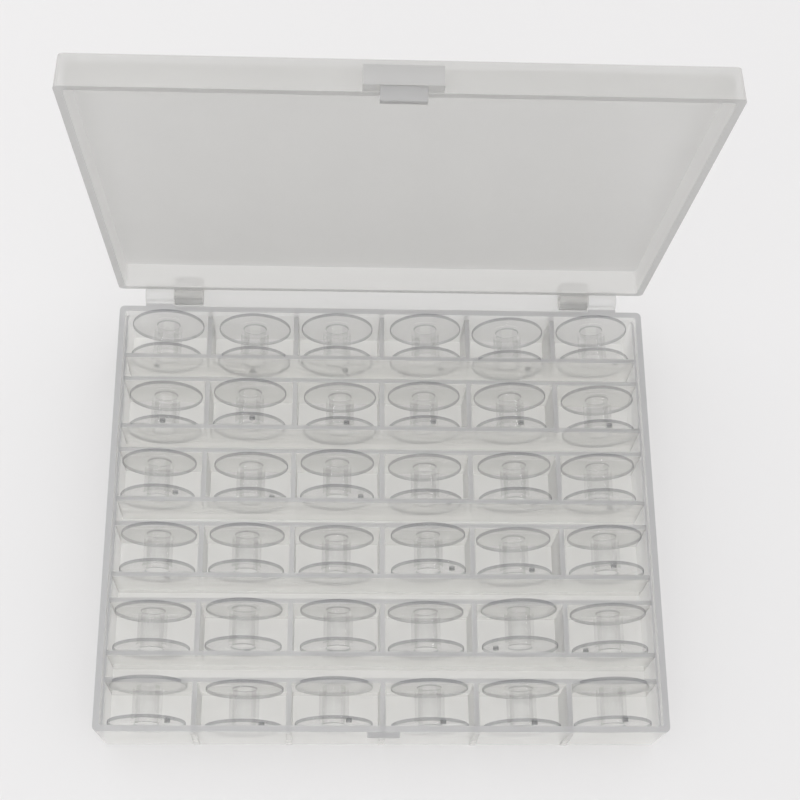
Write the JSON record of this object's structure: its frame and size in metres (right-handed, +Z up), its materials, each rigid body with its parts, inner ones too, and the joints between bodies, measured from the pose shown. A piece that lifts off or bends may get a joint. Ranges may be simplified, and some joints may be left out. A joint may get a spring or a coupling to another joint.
{
  "type": "bobbin storage box",
  "caption": "Clear moulded storage box with a hinged, snap-latched lid and rows of compartments, each holding one clear sewing machine bobbin.",
  "frame": {"origin": "middle of the tray's underside, on the surface that it stands on", "axes": "+Z up, +X to the right along the rows of compartments, -Y towards the front with the latch, +Y towards the hinge"},
  "size_m": [0.148, 0.1327, 0.146],
  "materials": {
    "clear_tray": "satin moulded translucent polypropylene",
    "clear_lid": "satin moulded translucent polypropylene",
    "clear_bobbin": "glossy clear moulded polystyrene"
  },
  "bodies": {
    "tray": {"tray": "clear_tray", "partitions_r1": "clear_tray", "partitions_r2": "clear_tray", "partitions_r3": "clear_tray", "partitions_r4": "clear_tray", "partitions_r5": "clear_tray", "partitions_r6": "clear_tray"},
    "lid": {"lid": "clear_lid"},
    "latch_tab": {"latch_tab": "clear_lid"},
    "bobbin_r1c1": {"bobbin_r1c1": "clear_bobbin"},
    "bobbin_r1c2": {"bobbin_r1c2": "clear_bobbin"},
    "bobbin_r1c3": {"bobbin_r1c3": "clear_bobbin"},
    "bobbin_r1c4": {"bobbin_r1c4": "clear_bobbin"},
    "bobbin_r1c5": {"bobbin_r1c5": "clear_bobbin"},
    "bobbin_r1c6": {"bobbin_r1c6": "clear_bobbin"},
    "bobbin_r2c1": {"bobbin_r2c1": "clear_bobbin"},
    "bobbin_r2c2": {"bobbin_r2c2": "clear_bobbin"},
    "bobbin_r2c3": {"bobbin_r2c3": "clear_bobbin"},
    "bobbin_r2c4": {"bobbin_r2c4": "clear_bobbin"},
    "bobbin_r2c5": {"bobbin_r2c5": "clear_bobbin"},
    "bobbin_r2c6": {"bobbin_r2c6": "clear_bobbin"},
    "bobbin_r3c1": {"bobbin_r3c1": "clear_bobbin"},
    "bobbin_r3c2": {"bobbin_r3c2": "clear_bobbin"},
    "bobbin_r3c3": {"bobbin_r3c3": "clear_bobbin"},
    "bobbin_r3c4": {"bobbin_r3c4": "clear_bobbin"},
    "bobbin_r3c5": {"bobbin_r3c5": "clear_bobbin"},
    "bobbin_r3c6": {"bobbin_r3c6": "clear_bobbin"},
    "bobbin_r4c1": {"bobbin_r4c1": "clear_bobbin"},
    "bobbin_r4c2": {"bobbin_r4c2": "clear_bobbin"},
    "bobbin_r4c3": {"bobbin_r4c3": "clear_bobbin"},
    "bobbin_r4c4": {"bobbin_r4c4": "clear_bobbin"},
    "bobbin_r4c5": {"bobbin_r4c5": "clear_bobbin"},
    "bobbin_r4c6": {"bobbin_r4c6": "clear_bobbin"},
    "bobbin_r5c1": {"bobbin_r5c1": "clear_bobbin"},
    "bobbin_r5c2": {"bobbin_r5c2": "clear_bobbin"},
    "bobbin_r5c3": {"bobbin_r5c3": "clear_bobbin"},
    "bobbin_r5c4": {"bobbin_r5c4": "clear_bobbin"},
    "bobbin_r5c5": {"bobbin_r5c5": "clear_bobbin"},
    "bobbin_r5c6": {"bobbin_r5c6": "clear_bobbin"},
    "bobbin_r6c1": {"bobbin_r6c1": "clear_bobbin"},
    "bobbin_r6c2": {"bobbin_r6c2": "clear_bobbin"},
    "bobbin_r6c3": {"bobbin_r6c3": "clear_bobbin"},
    "bobbin_r6c4": {"bobbin_r6c4": "clear_bobbin"},
    "bobbin_r6c5": {"bobbin_r6c5": "clear_bobbin"},
    "bobbin_r6c6": {"bobbin_r6c6": "clear_bobbin"}
  },
  "joints": [
    {"name": "lid_hinge", "type": "hinge", "parent": "tray", "child": "lid", "pos_m": [0, 0.0636, 0.0194], "axis": [-1, 0, 0], "range_deg": [-84, 0]},
    {"name": "latch_flex", "type": "hinge", "parent": "lid", "child": "latch_tab", "pos_m": [0, 0.05082, 0.1448], "axis": [-1, 0, 0], "range_deg": [0, 6], "stiffness_Nm_per_rad": 0.05},
    {"name": "lift_r1c1", "type": "slide", "parent": "tray", "child": "bobbin_r1c1", "axis": [0, 0, 1], "range_m": [0, 0.026]},
    {"name": "lift_r1c2", "type": "slide", "parent": "tray", "child": "bobbin_r1c2", "axis": [0, 0, 1], "range_m": [0, 0.026]},
    {"name": "lift_r1c3", "type": "slide", "parent": "tray", "child": "bobbin_r1c3", "axis": [0, 0, 1], "range_m": [0, 0.026]},
    {"name": "lift_r1c4", "type": "slide", "parent": "tray", "child": "bobbin_r1c4", "axis": [0, 0, 1], "range_m": [0, 0.026]},
    {"name": "lift_r1c5", "type": "slide", "parent": "tray", "child": "bobbin_r1c5", "axis": [0, 0, 1], "range_m": [0, 0.026]},
    {"name": "lift_r1c6", "type": "slide", "parent": "tray", "child": "bobbin_r1c6", "axis": [0, 0, 1], "range_m": [0, 0.026]},
    {"name": "lift_r2c1", "type": "slide", "parent": "tray", "child": "bobbin_r2c1", "axis": [0, 0, 1], "range_m": [0, 0.026]},
    {"name": "lift_r2c2", "type": "slide", "parent": "tray", "child": "bobbin_r2c2", "axis": [0, 0, 1], "range_m": [0, 0.026]},
    {"name": "lift_r2c3", "type": "slide", "parent": "tray", "child": "bobbin_r2c3", "axis": [0, 0, 1], "range_m": [0, 0.026]},
    {"name": "lift_r2c4", "type": "slide", "parent": "tray", "child": "bobbin_r2c4", "axis": [0, 0, 1], "range_m": [0, 0.026]},
    {"name": "lift_r2c5", "type": "slide", "parent": "tray", "child": "bobbin_r2c5", "axis": [0, 0, 1], "range_m": [0, 0.026]},
    {"name": "lift_r2c6", "type": "slide", "parent": "tray", "child": "bobbin_r2c6", "axis": [0, 0, 1], "range_m": [0, 0.026]},
    {"name": "lift_r3c1", "type": "slide", "parent": "tray", "child": "bobbin_r3c1", "axis": [0, 0, 1], "range_m": [0, 0.026]},
    {"name": "lift_r3c2", "type": "slide", "parent": "tray", "child": "bobbin_r3c2", "axis": [0, 0, 1], "range_m": [0, 0.026]},
    {"name": "lift_r3c3", "type": "slide", "parent": "tray", "child": "bobbin_r3c3", "axis": [0, 0, 1], "range_m": [0, 0.026]},
    {"name": "lift_r3c4", "type": "slide", "parent": "tray", "child": "bobbin_r3c4", "axis": [0, 0, 1], "range_m": [0, 0.026]},
    {"name": "lift_r3c5", "type": "slide", "parent": "tray", "child": "bobbin_r3c5", "axis": [0, 0, 1], "range_m": [0, 0.026]},
    {"name": "lift_r3c6", "type": "slide", "parent": "tray", "child": "bobbin_r3c6", "axis": [0, 0, 1], "range_m": [0, 0.026]},
    {"name": "lift_r4c1", "type": "slide", "parent": "tray", "child": "bobbin_r4c1", "axis": [0, 0, 1], "range_m": [0, 0.026]},
    {"name": "lift_r4c2", "type": "slide", "parent": "tray", "child": "bobbin_r4c2", "axis": [0, 0, 1], "range_m": [0, 0.026]},
    {"name": "lift_r4c3", "type": "slide", "parent": "tray", "child": "bobbin_r4c3", "axis": [0, 0, 1], "range_m": [0, 0.026]},
    {"name": "lift_r4c4", "type": "slide", "parent": "tray", "child": "bobbin_r4c4", "axis": [0, 0, 1], "range_m": [0, 0.026]},
    {"name": "lift_r4c5", "type": "slide", "parent": "tray", "child": "bobbin_r4c5", "axis": [0, 0, 1], "range_m": [0, 0.026]},
    {"name": "lift_r4c6", "type": "slide", "parent": "tray", "child": "bobbin_r4c6", "axis": [0, 0, 1], "range_m": [0, 0.026]},
    {"name": "lift_r5c1", "type": "slide", "parent": "tray", "child": "bobbin_r5c1", "axis": [0, 0, 1], "range_m": [0, 0.026]},
    {"name": "lift_r5c2", "type": "slide", "parent": "tray", "child": "bobbin_r5c2", "axis": [0, 0, 1], "range_m": [0, 0.026]},
    {"name": "lift_r5c3", "type": "slide", "parent": "tray", "child": "bobbin_r5c3", "axis": [0, 0, 1], "range_m": [0, 0.026]},
    {"name": "lift_r5c4", "type": "slide", "parent": "tray", "child": "bobbin_r5c4", "axis": [0, 0, 1], "range_m": [0, 0.026]},
    {"name": "lift_r5c5", "type": "slide", "parent": "tray", "child": "bobbin_r5c5", "axis": [0, 0, 1], "range_m": [0, 0.026]},
    {"name": "lift_r5c6", "type": "slide", "parent": "tray", "child": "bobbin_r5c6", "axis": [0, 0, 1], "range_m": [0, 0.026]},
    {"name": "lift_r6c1", "type": "slide", "parent": "tray", "child": "bobbin_r6c1", "axis": [0, 0, 1], "range_m": [0, 0.026]},
    {"name": "lift_r6c2", "type": "slide", "parent": "tray", "child": "bobbin_r6c2", "axis": [0, 0, 1], "range_m": [0, 0.026]},
    {"name": "lift_r6c3", "type": "slide", "parent": "tray", "child": "bobbin_r6c3", "axis": [0, 0, 1], "range_m": [0, 0.026]},
    {"name": "lift_r6c4", "type": "slide", "parent": "tray", "child": "bobbin_r6c4", "axis": [0, 0, 1], "range_m": [0, 0.026]},
    {"name": "lift_r6c5", "type": "slide", "parent": "tray", "child": "bobbin_r6c5", "axis": [0, 0, 1], "range_m": [0, 0.026]},
    {"name": "lift_r6c6", "type": "slide", "parent": "tray", "child": "bobbin_r6c6", "axis": [0, 0, 1], "range_m": [0, 0.026]}
  ]
}
